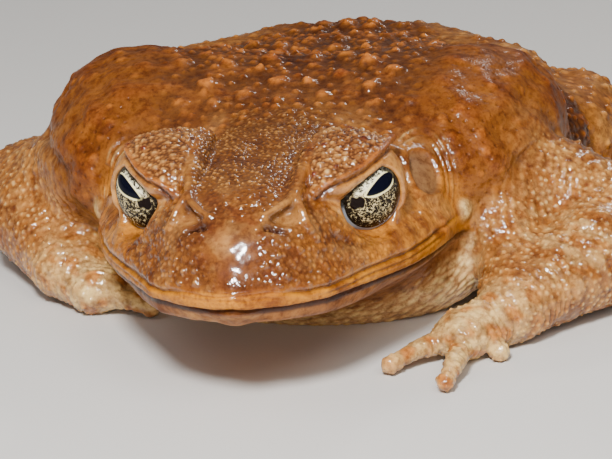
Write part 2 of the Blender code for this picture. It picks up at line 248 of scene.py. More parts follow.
def hand_body(wrist, palm, fingers):
    forms = [Tube((wrist, palm), (4.2, 4.0)), Ball(palm, (4.8, 4.8, 3.4))]
    for base, tip in fingers:
        middle = tuple((a + b) / 2 + lift for a, b, lift in zip(base, tip, (0, 0, 0.5)))
        forms += [Tube((base, middle, tip), (1.8, 1.5, 1.15)), Ball(tip, (1.22, 1.22, 1.15))]
    return Body(forms, 1.2)


def leg_bodies():
    hip, knee, ankle, sole = (14, 57, 12), (40, 31, 10), (32, 66, 6.5), (50, 46, 4)
    thigh = Body([Tube((hip, (28, 43, 12), knee), (10.5, 11.5, 8.5))])
    shank = Body([Tube(((42, 30, 9.5), (42, 45, 9.0), ankle), (8.2, 8.8, 5.2))])
    toes = []
    for x, y in ((49, 33), (52, 26), (57, 19), (65, 17), (65, 31)):
        middle = ((sole[0] + x) / 2, (sole[1] + y) / 2, 2.6)
        toes += [Tube((sole, middle, (x, y, 1.6)), (2.8, 1.9, 1.3)), Ball((x, y, 1.6), (1.6,) * 3)]
    web = Ball((54, 36, 1.9), (8, 10, 1.5), (0, 0, -20))
    foot = Body([Tube((ankle, sole), (4.8, 4.2)), *toes, web], 2.2)
    return thigh, shank, foot


def mirrored_body(body):
    return Body([form.mirrored() for form in body.forms], body.blend)


LEFT_ELBOW, RIGHT_ELBOW = (56, -14, 9.5), (-49, 2, 10.0)
LEFT_PALM, RIGHT_PALM = (31, -46.5, 3.8), (-32, -28.0, 3.8)
LEFT_FOLD = ((33, -18, 17), (37, -28, 10), (37, -36, 6.5))
RIGHT_FOLD = ((-33, -13, 17), (-37.5, -14, 9.5), (-35, -22, 6))


def toad_bodies():
    trunk = Body([
        Ball((5.0, -22.5, 8), (28.5, 15.5, 12)),
        Ball((0, -8, 18), (35.5, 25, 18)),
        Ball((0, 16, 15.0), (46, 32, 15.0)),
        Ball((0, 37, 12.0), (34, 28, 12.0)),
        Ball((0, 55, 11.5), (23, 20, 11.5)),
        *both(Ball((20, -6, 23.5), (17.5, 22, 12.5))),
        *both(Ball((12, 31, 14), (10, 23, 9.0), (-11, 0, -6))),
    ], 7.0)
    gland = Body([
        Ball((30.5, -8, 25.5), (13.5, 19, 10), (4, 40, -10)),
        Ball((27.5, -19, 23.5), (11, 11, 8.5), (0, 35, -20)),
        Ball((33, 2, 24.5), (11, 13, 8), (0, 38, -6)),
    ], 5.0)
    arm_left = arm_body((33, -13, 19), LEFT_ELBOW, (50, -26, 9), (38.5, -40, 5.2), LEFT_FOLD)
    arm_right = arm_body((-33, -11, 19), RIGHT_ELBOW, (-46, -9, 9.2), (-39, -23, 5.4), RIGHT_FOLD)
    hand_left = hand_body((38.5, -40, 5.2), LEFT_PALM, (
        ((29, -43.5, 3.2), (28.5, -38, 1.6)),
        ((27.5, -47.5, 3.0), (20.2, -54.3, 1.6)),
        ((31.5, -49, 3.0), (29.7, -61, 1.6)),
        ((34.2, -45.8, 2.8), (36.7, -48.5, 1.4)),
    ))
    hand_right = hand_body((-39, -23, 5.4), RIGHT_PALM, (
        ((-29, -25.5, 2.8), (-23.5, -21.0, 1.6)),
        ((-28.5, -27.5, 2.8), (-21.8, -25.9, 1.6)),
        ((-29.5, -29.8, 3.0), (-22.3, -31.2, 1.7)),
        ((-35.5, -25.0, 3.4), (-36.7, -28.0, 3.4)),
    ))
    thigh, shank, foot = leg_bodies()
    return {
        "head": head_body(), "jaw": jaw_body(), "trunk": trunk,
        "gland": gland, "gland_right": mirrored_body(gland),
        "arm": arm_left, "arm_right": arm_right, "hand": hand_left, "hand_right": hand_right,
        "thigh": thigh, "thigh_right": mirrored_body(thigh),
        "shank": shank, "shank_right": mirrored_body(shank),
        "foot": foot, "foot_right": mirrored_body(foot),
    }


BODIES = toad_bodies()
# What each body is fused into the rest with, in the order of fusing.
FUSING = (
    ("gland", 3.0), ("thigh", 4.0), ("shank", 1.6), ("foot", 1.6), ("arm", 3.0), ("hand", 2.5),
)


def to_head(points):
    """Points in the head's frame, whose origin is between the eyes and which is pitched up."""
    x, y, z = (points - EYES_MIDDLE).T
    return np.stack([x, PITCH_COS * y - PITCH_SIN * z, PITCH_SIN * y + PITCH_COS * z], axis=1)


def from_head(points):
    x, y, z = points.T
    return np.stack([x, PITCH_COS * y + PITCH_SIN * z, PITCH_COS * z - PITCH_SIN * y], axis=1) + EYES_MIDDLE


def parts_distances(points):
    in_head = to_head(points)
    found = {}
    for name, body in BODIES.items():
        found[name] = body.distance(in_head if name in ("head", "jaw") else points)
    return found


def fused(found):
    surface = found["trunk"]
    for name, blend in FUSING:
        for side in (name, name + "_right"):
            surface = joined(surface, found[side], blend)
    face = joined(found["head"], found["jaw"], 0.8)
    return joined(surface, face, 4.0)


def toad_distance(points):
    return fused(parts_distances(points))


def surface_net(distance, low, high, step):
    """Points and four-sided faces of the surface where distance is zero, from a grid of samples."""
    axes = [np.arange(a, b + step, step) for a, b in zip(low, high)]
    grid = np.stack(np.meshgrid(*axes, indexing="ij"), axis=-1)
    shape = np.array(grid.shape[:3])
    field = distance(grid.reshape(-1, 3)).reshape(shape)
    cells = shape - 1
    total = np.zeros((cells.prod(), 3))
    count = np.zeros(cells.prod())
    strides = np.array((cells[1] * cells[2], cells[2], 1))
    crossings = []
    for axis in range(3):
        here = [slice(None)] * 3
        there = [slice(None)] * 3
        here[axis], there[axis] = slice(0, -1), slice(1, None)
        first, second = field[tuple(here)], field[tuple(there)]
        where = np.argwhere((first < 0) != (second < 0))
        one, two = (axis + 1) % 3, (axis + 2) % 3
        inner = [(where[:, way] > 0) & (where[:, way] < cells[way]) for way in (one, two)]
        where = where[inner[0] & inner[1]]
        before = first[tuple(where.T)]
        share = before / (before - second[tuple(where.T)])
        place = where * step + np.array(low)
        place[:, axis] += share * step
        ring = []
        for back_one, back_two in ((0, 0), (1, 0), (1, 1), (0, 1)):
            cell = where.copy()
            cell[:, one] -= back_one
            cell[:, two] -= back_two
            index = cell @ strides
            np.add.at(total, index, place)
            np.add.at(count, index, 1)
            ring.append(index)
        ring = np.stack(ring, axis=1)
        crossings.append(np.where((before < 0)[:, None], ring, ring[:, ::-1]))
    used = np.flatnonzero(count)
    number = np.full(len(count), -1)
    number[used] = np.arange(len(used))
    return total[used] / count[used][:, None], number[np.concatenate(crossings)]


def mesh_from(name, points, faces):
    mesh = bpy.data.meshes.new(name)
    mesh.vertices.add(len(points))
    mesh.vertices.foreach_set("co", points.astype(np.float32).ravel())
    mesh.loops.add(faces.size)
    mesh.loops.foreach_set("vertex_index", faces.astype(np.int32).ravel())
    mesh.polygons.add(len(faces))
    mesh.polygons.foreach_set("loop_start", np.arange(0, faces.size, faces.shape[1], dtype=np.int32))
    mesh.update(calc_edges=True)
    mesh.validate()
    return mesh


def vertex_array(mesh):
    found = np.empty(len(mesh.vertices) * 3, dtype=np.float32)
    mesh.vertices.foreach_get("co", found)
    return found.reshape(-1, 3).astype(float)


def normal_array(mesh):
    found = np.empty(len(mesh.vertices) * 3, dtype=np.float32)
    mesh.vertex_normals.foreach_get("vector", found)
    return found.reshape(-1, 3).astype(float)


def set_vertices(mesh, points):
    mesh.vertices.foreach_set("co", points.astype(np.float32).ravel())
    mesh.update()


ATTRIBUTE_KEYS = {"FLOAT": "value", "FLOAT_VECTOR": "vector", "FLOAT_COLOR": "color"}


def add_attribute(mesh, name, kind, values):
    """Keeps a number, a vector or an opaque colour for each of the mesh's points."""
    attribute = mesh.attributes.new(name, kind, "POINT")
    if kind == "FLOAT_COLOR":
        values = np.insert(values, 3, 1, axis=1)
    attribute.data.foreach_set(ATTRIBUTE_KEYS[kind], values.astype(np.float32).ravel())


def add_object(name, data):
    added = bpy.data.objects.new(name, data)
    bpy.context.scene.collection.objects.link(added)
    return added


def add_piece(name, mesh, material, slot, *nodes):
    """A smooth piece of the toad, which takes the place of these nodes of the frame."""
    mesh.polygons.foreach_set("use_smooth", np.ones(len(mesh.polygons), dtype=bool))
    mesh.materials.append(material)
    piece = add_object(name, mesh)
    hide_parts(*nodes)
    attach(piece, "root")


def settle(mesh, steps):
    """Moves a mesh's points along their normals onto the toad's surface."""
    for _ in range(steps):
        points = vertex_array(mesh)
        points -= np.clip(toad_distance(points), -1, 1)[:, None] * normal_array(mesh)
        set_vertices(mesh, points)


def split_faces(mesh, chosen=None):
    """Splits each edge in two and each face in four, all over or only where every corner is chosen."""
    working = bmesh.new()
    working.from_mesh(mesh)
    edges = working.edges
    if chosen is not None:
        working.verts.ensure_lookup_table()
        edges = [e for e in working.edges if chosen[e.verts[0].index] and chosen[e.verts[1].index]]
    bmesh.ops.subdivide_edges(working, edges=list(edges), cuts=1, use_grid_fill=True)
    working.to_mesh(mesh)
    working.free()


def ripple(points, wavelength, seed, waves=9):
    """Smooth noise between about -1 and 1: waves in all directions, summed."""
    draw = np.random.default_rng(seed)
    total = np.zeros(len(points))
    for _ in range(waves):
        way = draw.normal(size=3)
        way *= 2 * math.pi / (wavelength * draw.uniform(0.75, 1.35) * np.linalg.norm(way))
        total += np.sin(points @ way + draw.uniform(0, 2 * math.pi))
    return total * math.sqrt(2 / waves) / 1.6


def smooth(low, high, value):
    t = np.clip((value - low) / (high - low), 0, 1)
    return t * t * (3 - 2 * t)


def mix(first, second, share):
    return first + (second - first) * share


def scattered(points, where, spacing, seed):
    """Places among the points, none nearer than the spacing to another."""
    draw = random.Random(seed)
    order = np.flatnonzero(where).tolist()
    draw.shuffle(order)
    taken = {}
    kept = []
    for index in order:
        place = points[index]
        cell = tuple(np.floor(place / spacing).astype(int))
        near = (other for dx in (-1, 0, 1) for dy in (-1, 0, 1) for dz in (-1, 0, 1)
                for other in taken.get((cell[0] + dx, cell[1] + dy, cell[2] + dz), ()))
        if all((place[0] - x) ** 2 + (place[1] - y) ** 2 + (place[2] - z) ** 2 > spacing**2
               for x, y, z in near):
            taken.setdefault(cell, []).append(place)
            kept.append(place)
    return np.array(kept)


def domes(points, centres, radii, reach):
    """For each point, how high it stands on its nearest dome, from 0 at the foot to 1 at the top."""
    tree = KDTree(len(centres))
    for index, centre in enumerate(centres):
        tree.insert(centre, index)
    tree.balance()
    height = np.zeros(len(points))
    owner = np.zeros(len(points), dtype=int)
    for index in np.flatnonzero(reach):
        _, nearest, away = tree.find(points[index])
        owner[index] = nearest
        height[index] = away
    rise = 1 - (height / radii[owner]) ** 2
    return np.where(reach, np.clip(rise, 0, 1), 0), owner


def build_skin():
    points, faces = surface_net(toad_distance, GRID_LOW, GRID_HIGH, STEP)
    mesh = mesh_from("skin", points, faces)
    settle(mesh, 2)
    split_faces(mesh)
    settle(mesh, 1)
    points = vertex_array(mesh)
    in_head = to_head(points)
    fine = (in_head[:, 1] < 17) & (in_head[:, 2] > -20) & (np.abs(in_head[:, 0]) < 34)
    fine |= (np.abs(points[:, 0]) > 25) & (points[:, 1] < -18)
    split_faces(mesh, fine)
    settle(mesh, 2)
    return mesh


# Curves on the left of the head, in the head's frame; the right side mirrors them.
LID_RIM_LEVELS = ((-10.8, 2.1), (-9.3, 1.2), (-6.4, 0.8), (-1.0, 1.1), (7.5, 2.1))
CANTHUS = ((9.4, 8.0, 6.8), (9.3, -3, 6.9), (8.8, -9, 5.0), (8.3, -14.4, 2.4), (7.4, -16.0, 2.1),
           (6.4, -17.4, 1.7), (5.3, -18.6, 1.2), (4.4, -19.3, 0.9))
PREOCULAR = ((8.3, -14.4, 2.4), (9.2, -15.3, 1.6), (9.8, -16.2, 0.7), (10.4, -16.9, -0.3),
             (11.3, -17.1, -1.7))
UNDER_CANTHUS = ((7.9, -15.6, 1.1), (7.2, -16.7, 0.8), (6.4, -17.6, 0.5), (5.5, -18.6, 0.2))
BEHIND_PREOCULAR = ((10.0, -13.0, 0.9), (10.8, -14.0, 0.0), (11.6, -14.8, -1.2), (12.4, -15.4, -2.6))
LOREAL = (7.1, -16.8, -0.4)
NOSTRIL = ((4.9, -20.3, -0.9), (6.1, -20.1, -1.05), (7.3, -19.9, -1.7))
NOSTRIL_LIP = ((5.0, -21.3, -2.0), (6.4, -21.0, -1.9), (7.8, -20.4, -2.5))
LIP_GROOVE = ((0, -26, -9.5), (6, -24.6, -9.7), (11.2, -21.8, -10.3), (18.4, -11.9, -9.8),
              (24.1, -1.9, -9.5), (26.8, 5.9, -8.9))
LOWER_LID_FOLD = ((12.0, -13.8, -2.4), (14.6, -13.4, -4.6), (17.6, -10.4, -6.4), (21.0, -5.0, -6.0),
                  (22.6, -0.5, -3.4))
GLAND_CREASE = ((31.5, 22.0, -13.5), (34.5, 24.0, -8.0), (38.2, 26.3, -2.3), (43.6, 40.1, -0.7))
EARDRUM = (23.4, 14.6, -2.8)
CREAM_LUMP = (29.7, 18.7, -8.6)
CHEEK_LUMP = (27.4, 10.0, -8.6)
# The middle of the painted highlight on the left forearm, in the toad's frame.
FOREARM_HIGHLIGHT = (46.0, -31.0, 14.0)

BACK = (0.105, 0.033, 0.006)
GLAND = (0.21, 0.064, 0.010)
CROWN = (0.170, 0.058, 0.009)
LID = (0.260, 0.098, 0.024)
FACE = (0.260, 0.083, 0.010)
SNOUT = (0.200, 0.066, 0.011)
CHEEK = (0.50, 0.180, 0.017)
LID_BAND = (0.54, 0.235, 0.050)
TAN = (0.56, 0.275, 0.078)
UPPER_LIP = (0.50, 0.180, 0.008)
LOWER_LIP = (0.44, 0.200, 0.065)
CHEST = (0.74, 0.420, 0.170)
LIMB = (0.43, 0.155, 0.025)
CREAM = (0.88, 0.66, 0.27)
ORANGE = (0.56, 0.170, 0.025)
RUST = (0.13, 0.022, 0.006)
DARK = (0.050, 0.013, 0.004)
EARDRUM_SKIN = (0.19, 0.095, 0.042)


def band(points, curve, width):
    """1 on a curve and falling to 0 off it, as a bell of this width."""
    away = Tube(curve, (0.0,) * len(curve)).distance(points)
    return bell(away, width)


def bump_layer(points, where, spacing, radii, seed):
    """Domes strewn where asked: their rise at each point, and each one's chance number and size."""
    centres = scattered(points, where > 0.5, spacing, seed)
    draw = np.random.default_rng(seed)
    sizes = draw.uniform(*radii, len(centres))
    chance = draw.uniform(0, 1, len(centres))
    rise, owner = domes(points, centres, sizes, where > 0.02)
    return rise * where, chance[owner], sizes[owner]


def regions(points, normals):
    """How far each point belongs to each region, from 0 to 1, and some measures of where it lies."""
    found = parts_distances(points)
    groups = {
        "face": np.minimum(found["head"], found["jaw"]),
        "trunk": found["trunk"],
        "gland": np.minimum(found["gland"], found["gland_right"]),
        "arm": np.minimum(found["arm"], found["arm_right"]),
        "hand": np.minimum(found["hand"], found["hand_right"]),
        "leg": np.minimum.reduce([found[name + side] for name in ("thigh", "shank", "foot")
                                  for side in ("", "_right")]),
    }
    stack = np.stack(list(groups.values()))
    share = np.exp(-(stack - stack.min(0)) / 1.2)
    where = dict(zip(groups, share / share.sum(0)))
    head = to_head(points) * np.where(points[:, :1] < 0, (-1, 1, 1), (1, 1, 1))
    x, y, z = head.T
    face = where["face"]
    where["head"] = head
    over_rim = (head - EYE) @ LID_EDGE - np.interp(y, *zip(*LID_RIM_LEVELS))
    near_eye = lengths(head - EYE)
    where["over_rim"] = over_rim
    where["lid_zone"] = (smooth(9.4, 10.4, x) * smooth(11.5, 9.5, y) * smooth(-12.2, -11.0, y)
                         * smooth(14.5, 13.0, near_eye) * face)
    where["plate"] = smooth(0.2, 0.7, over_rim) * where["lid_zone"] * smooth(0.5, 1.5, z)
    where["lid_band"] = (smooth(-0.2, -0.9, over_rim) * smooth(12.0, 10.4, near_eye) * smooth(-5.6, -4.2, z)
                         * smooth(9.5, 10.8, x) * smooth(9.0, 7.0, y) * face)
    canthus = band(head, CANTHUS, 0.75) * smooth(-6, -10, y)
    where["ridge"] = np.maximum(canthus, band(head, PREOCULAR, 0.70)) * face
    where["brow"] = band(head, CANTHUS, 1.2) * smooth(-10, -6, y) * face
    groove_z = np.interp(y, [p[1] for p in LIP_GROOVE], [p[2] for p in LIP_GROOVE])
    where["over_groove"] = z - groove_z
    where["upper_lip"] = (smooth(0.5, -0.3, z - groove_z) * smooth(MOUTH_Z - 0.5, MOUTH_Z, z)
                          * smooth(22, 15, y) * face)
    where["lower_lip"] = smooth(MOUTH_Z - 0.3, MOUTH_Z - 0.9, z) * face
    where["crown"] = smooth(9.5, 7.5, x) * smooth(-17, -11, y) * smooth(0.5, 2.0, z) * face
    where["snout"] = smooth(-12, -18, y) * smooth(-9.2, -8.2, z) * smooth(11, 8, x) * face
    where["muzzle"] = (bell(np.hypot(x - 1.0, (z + 3.8) * 0.8), 3.6, 4)
                       * smooth(-17, -20, y) * face)
    inside = bell(lengths(head - LOREAL), 2.3) * (1 - where["ridge"]) * face
    where["loreal"] = inside
    where["granular"] = (smooth(0.4, 1.4, z - groove_z) * (1 - where["muzzle"]) * (1 - where["plate"])
                         * (1 - where["lid_band"]) * (1 - where["crown"]) * smooth(18, 14, y)
                         * (1 - 0.9 * where["ridge"]) * (1 - np.clip(1.6 * inside, 0, 1)) * face)
    behind = head - EARDRUM
    ear = lengths(behind / (3.0, 4.5, 5.5))
    where["granular"] *= smooth(1.0, 1.25, ear)
    where["ear_edge"] = ear
    where["ear"] = smooth(1.06, 0.92, ear) * face
    where["ear_rim"] = bell(ear - 1.12, 0.16) * face
    where["ear_folds"] = (smooth(1.10, 1.25, ear) * smooth(2.3, 1.6, ear) * smooth(0.5, 3.0, behind[:, 1])
                          * smooth(-5, -2, behind[:, 2]) * smooth(9, 6, behind[:, 2]) * smooth(18, 20, x))
    front = smooth(15, 8, points[:, 2] + 2.0 * ripple(points, 14, 3)) * smooth(-5, -15, points[:, 1])
    where["chest"] = where["trunk"] * np.maximum(front, smooth(-0.1, -0.6, normals[:, 2]))
    where["back"] = where["trunk"] * (1 - where["chest"])
    return where


class Skin:
    """The skin's points with their regions, noises, lift and tone, which the functions below build up."""

    def __init__(self, mesh):
        points = vertex_array(mesh)
        self.points, self.normals = points, normal_array(mesh)
        self.where = regions(points, self.normals)
        self.where["arms"] = self.where["arm"] + self.where["hand"]
        self.where["limbs"] = self.where["arms"] + self.where["leg"]
        self.head = self.where["head"]
        self.slow, self.medium, self.fine, self.small, self.blotch = (
            ripple(points, *wave) for wave in ((22, 5), (6, 7), (2.2, 9), (3.4, 11), (9.0, 13))
        )
        self.lift = np.zeros(len(points))
        self.tone = np.empty((len(points), 3))
        self.tone[:] = BACK

    def paint(self, colour, amount):
        self.tone[:] = mix(self.tone, np.array(colour), np.clip(amount, 0, 1)[:, None])

    def strew(self, area, spacing, radii, seed, height=0.0, chanced=0.0, at=None):
        """Raises domes over an area, and gives their rise and their chance numbers."""
        rise, chance, _ = bump_layer(self.points if at is None else at, area, spacing, radii, seed)
        self.lift += (height + chanced * chance) * rise
        return rise, chance


def paint_ground(skin):
    """The regions' own colours, blotched."""
    where, paint = skin.where, skin.paint
    slow, medium, fine, small, blotch = skin.slow, skin.medium, skin.fine, skin.small, skin.blotch
    face, limbs = where["face"], where["limbs"]
    x, y, z = skin.head.T
    paint(ORANGE, 0.25 * smooth(-0.2, 0.9, medium) * (where["back"] + where["gland"]))
    paint(DARK, 0.40 * smooth(0.1, 1.0, slow) * where["back"])
    paint(GLAND, 0.85 * where["gland"])
    paint(RUST, 0.35 * smooth(0.0, 1.0, medium) * where["gland"])
    paint(LIMB, limbs)
    paint(TAN, 0.45 * smooth(-0.3, 0.9, blotch) * limbs)
    paint(CHEST, where["chest"])
    paint(FACE, face)
    paint(CHEEK, 0.85 * face * smooth(-14, -8, y) * smooth(1.0, -3.0, z) * smooth(8, 12, x))
    paint(SNOUT, 0.9 * where["snout"])
    paint(RUST, 0.38 * smooth(0.1, 0.9, small) * face)
    paint(TAN, 0.34 * smooth(0.2, 1.0, blotch + 0.4 * fine) * face)
    paint(DARK, 0.30 * smooth(0.2, 1.1, -medium) * face)
    paint(CROWN, 0.85 * where["crown"])
    paint(LID, 0.9 * where["plate"])
    paint(LID_BAND, 0.85 * where["lid_band"])
    paint(UPPER_LIP, 0.95 * where["upper_lip"])
    paint(RUST, 0.5 * smooth(0.2, 0.9, small) * where["upper_lip"] * smooth(4, 10, x))
    paint(LOWER_LIP, 0.95 * where["lower_lip"])
    paint(RUST, 0.5 * smooth(5, 12, x) * where["lower_lip"])


def fold_lips(skin):
    """The mouth's line, the grooves along the upper lip and the wrinkles at its front."""
    where, lift, points, paint = skin.where, skin.lift, skin.points, skin.paint
    medium = skin.medium
    face = where["face"]
    x, y, z = skin.head.T
    bow = 0.35 * bell(x, 1.6)
    mouth = bell(z - MOUTH_Z - bow, 0.42) * smooth(25, 21, y) * face
    lift -= 0.75 * mouth
    where["mouth"] = mouth
    # Painted shadow under the upper lip along the mouth's line.
    paint(DARK, 0.95 * bell(z - MOUTH_Z + 0.25 - bow, 0.42, 4) * smooth(25, 21, y) * face)
    over_groove = where["over_groove"] + 0.12 * medium
    groove = bell(over_groove, 0.33) * smooth(7, 10, x) * smooth(18, 12, y) * face
    lift -= 0.5 * groove
    # Painted shade in the lip's groove.
    paint(DARK, 0.7 * groove)
    second = bell(over_groove + 1.1, 0.22) * smooth(12, 15, x) * smooth(10, 6, y) * face
    lift -= 0.25 * second
    # Painted shade in the second groove.
    paint(DARK, 0.45 * second)
    wrinkles = np.sin((z + 0.35 * ripple(points, 5, 21)) * 2 * math.pi / 0.8)
    front = bell(z + 9.9, 0.9) * smooth(9, 6, x) * smooth(-18, -21, y) * face
    lift += 0.10 * wrinkles * front
    # Painted shade in the troughs of the wrinkles at the lip's front.
    paint(RUST, 0.45 * smooth(0.0, -1.0, wrinkles) * front)


def shape_face(skin):
    """The lids' rims and creases, the snout's ridges, lumps and nostrils, and the eardrums."""
    where, lift, paint = skin.where, skin.lift, skin.paint
    face = where["face"]
    head = skin.head
    _, y, _ = head.T
    over_rim, lid_zone = where["over_rim"], where["lid_zone"]
    lift += 0.45 * smooth(-0.45, 0.1, over_rim) * lid_zone
    lift += 0.48 * bell(over_rim, 0.50) * lid_zone
    crease = bell(over_rim + 0.62, 0.30) * lid_zone * smooth(9.0, 6.5, y)
    lift -= 0.45 * crease
    paint(ORANGE, 0.60 * bell(over_rim, 0.55) * lid_zone)
    # Painted shade in the lid's crease.
    paint(DARK, 0.8 * crease)
    lift += 0.30 * where["ridge"] + 0.2 * where["brow"] - 0.25 * where["loreal"]
    paint(TAN, 0.50 * where["loreal"])
    # Painted highlight: lighter along the snout's ridges.
    paint(LID_BAND, 0.35 * where["ridge"])
    # Painted shade below the canthal ridge and behind the preocular ridge, in the hollows beside them.
    shade = band(head, UNDER_CANTHUS, 0.9) + 0.8 * band(head, BEHIND_PREOCULAR, 0.75)
    shade *= (1 - 0.6 * where["ridge"]) * face
    lift -= 0.2 * shade
    paint(DARK, 0.9 * shade)
    eye_fold = band(head, LOWER_LID_FOLD, 0.6) * face
    lift -= 0.4 * eye_fold
    # Painted shade in the fold below the lower lid.
    paint(DARK, 0.45 * eye_fold)
    gland_crease = band(head, GLAND_CREASE, 1.3)
    lift -= 0.9 * gland_crease
    # Painted shade in the crease along the gland.
    paint(DARK, 0.6 * gland_crease)
    lump = bell(lengths(head - CREAM_LUMP), 1.7, 4)
    lift += 0.8 * lump
    paint(CREAM, 0.75 * lump)
    cheek_lump = bell(lengths(head - CHEEK_LUMP), 1.9) * face
    lift += 0.4 * cheek_lump
    paint(ORANGE, 0.7 * cheek_lump)
    nostril = band(head, NOSTRIL, 0.68) * face
    lift += 0.35 * band(head, NOSTRIL_LIP, 0.7) * face - 1.1 * nostril
    # Painted shade inside the nostrils.
    paint(DARK, 1.2 * nostril)
    paint(EARDRUM_SKIN, 0.9 * where["ear"])
    lift += 0.5 * where["ear_rim"] * (1 - where["ear"]) - 0.35 * where["ear"]
    # Painted shade along the eardrum's front edge, under its raised rim.
    paint(DARK, 0.55 * bell(where["ear_edge"] - 1.0, 0.09) * face * smooth(17, 13, y))


def bead_face(skin):
    """Wet granules on the lids, the snout's sides, the cheeks and the crown, with painted shade between
    them.
    """
    where, lift, points, paint, strew = skin.where, skin.lift, skin.points, skin.paint, skin.strew
    fine, small = skin.fine, skin.small
    _, y, _ = skin.head.T
    rise, chance = strew(where["plate"], 1.25, (0.45, 0.72), 31, 0.20, 0.32)
    paint(TAN, 0.75 * smooth(0.35, 1, rise))
    paint(CREAM, 0.30 * smooth(0.7, 1, rise) * chance)
    paint(RUST, 1.1 * smooth(0.2, 0.8, rise) * (chance > 0.93))
    between, _ = strew(where["plate"] * (rise < 0.05), 0.6, (0.22, 0.36), 33, 0.14)
    paint(LID_BAND, 0.5 * smooth(0.4, 1, between))
    # Painted shade: darker between the lids' granules.
    paint(DARK, 0.70 * smooth(0.30, 0.0, np.maximum(rise, between)) * where["plate"])
    rise, chance, _ = bump_layer(points, where["granular"], 0.85, (0.26, 0.44), 37)
    calm = 0.3 + 0.7 * smooth(-2, -13, y)
    lift += (0.05 + 0.17 * chance) * rise * calm
    paint(TAN, 0.35 * smooth(0.4, 1, rise) * chance * calm)
    # Painted shade between the granules.
    paint(DARK, 0.35 * smooth(0.15, 0.0, rise) * where["granular"] * calm)
    lift += 0.09 * (small + fine) * where["granular"] * (1 - calm)
    beaded = where["granular"] * smooth(-0.6, 0.1, ripple(points, 8, 39)) * smooth(-4, -14, y)
    rise, chance = strew(beaded, 1.7, (0.45, 0.80), 38, 0.12, 0.40)
    paint(SNOUT, 0.8 * smooth(0.2, 0.6, rise))
    paint(TAN, 0.55 * smooth(0.6, 1, rise) * chance)
    # Painted shade round the foot of each bead.
    paint(DARK, 0.45 * smooth(0.25, 0.05, rise) * smooth(0.0, 0.05, rise))
    rise, chance = strew(where["crown"] + 0.8 * where["brow"], 0.72, (0.24, 0.42), 41, 0.06, 0.22)
    paint(TAN, 0.7 * smooth(0.3, 1, rise) * (chance > 0.55))
    # Painted shade between the crown's grains.
    paint(DARK, 0.45 * smooth(0.15, 0.0, rise) * where["crown"])


def wart_back(skin):
    """Pebbles and warts of the back and the hind legs."""
    where, lift, points, paint, strew = skin.where, skin.lift, skin.points, skin.paint, skin.strew
    face = where["face"]
    _, y, z = skin.head.T
    nape = np.clip(where["back"] + face * smooth(14, 20, y) * smooth(-3, 3, z), 0, 1)
    where["nape"] = nape
    rise, chance = strew(nape, 1.7, (0.5, 0.95), 43, 0.14, 0.36)
    paint(ORANGE, 0.5 * smooth(0.35, 1, rise) * chance)
    # Painted shade between the nape's pebbles.
    paint(DARK, 0.3 * smooth(0.15, 0.0, rise) * nape)
    warty = where["back"] * smooth(-30, -20, points[:, 1])
    rise, chance, size = bump_layer(points, warty, 5.2, (1.2, 2.3), 47)
    lift += 0.55 * size * rise * (0.5 + 0.5 * chance)
    paint(ORANGE, 0.65 * smooth(0.45, 0.95, rise))
    rise, chance = strew(where["leg"], 2.6, (0.6, 1.2), 49, 0.10, 0.55)
    paint(TAN, 0.7 * smooth(0.35, 1, rise) * chance)
    # Painted shade between the legs' bumps.
    paint(DARK, 0.35 * smooth(0.25, 0, rise) * where["leg"])


def mark_glands(skin):
    """Pores and low swellings of the parotoid glands, and the fine folds behind the ear."""
    where, lift, points, paint, strew = skin.where, skin.lift, skin.points, skin.paint, skin.strew
    medium = skin.medium
    rise, chance = strew(where["gland"], 1.9, (0.25, 0.45), 53, -0.22)
    paint(DARK, 0.6 * rise)
    rise, chance = strew(where["gland"], 3.0, (0.8, 1.5), 59, 0.0, 0.30)
    paint(ORANGE, 0.45 * smooth(0.3, 1, rise) * chance)
    folds = np.sin((where["ear_edge"] + 0.10 * ripple(points, 6, 61)) * 2 * math.pi / 0.30)
    lift += 0.12 * folds * where["ear_folds"]
    paint(CREAM, 0.40 * smooth(0.1, 1, folds) * where["ear_folds"] * smooth(-0.6, 0.7, medium))
    lift += 0.35 * medium * where["gland"]


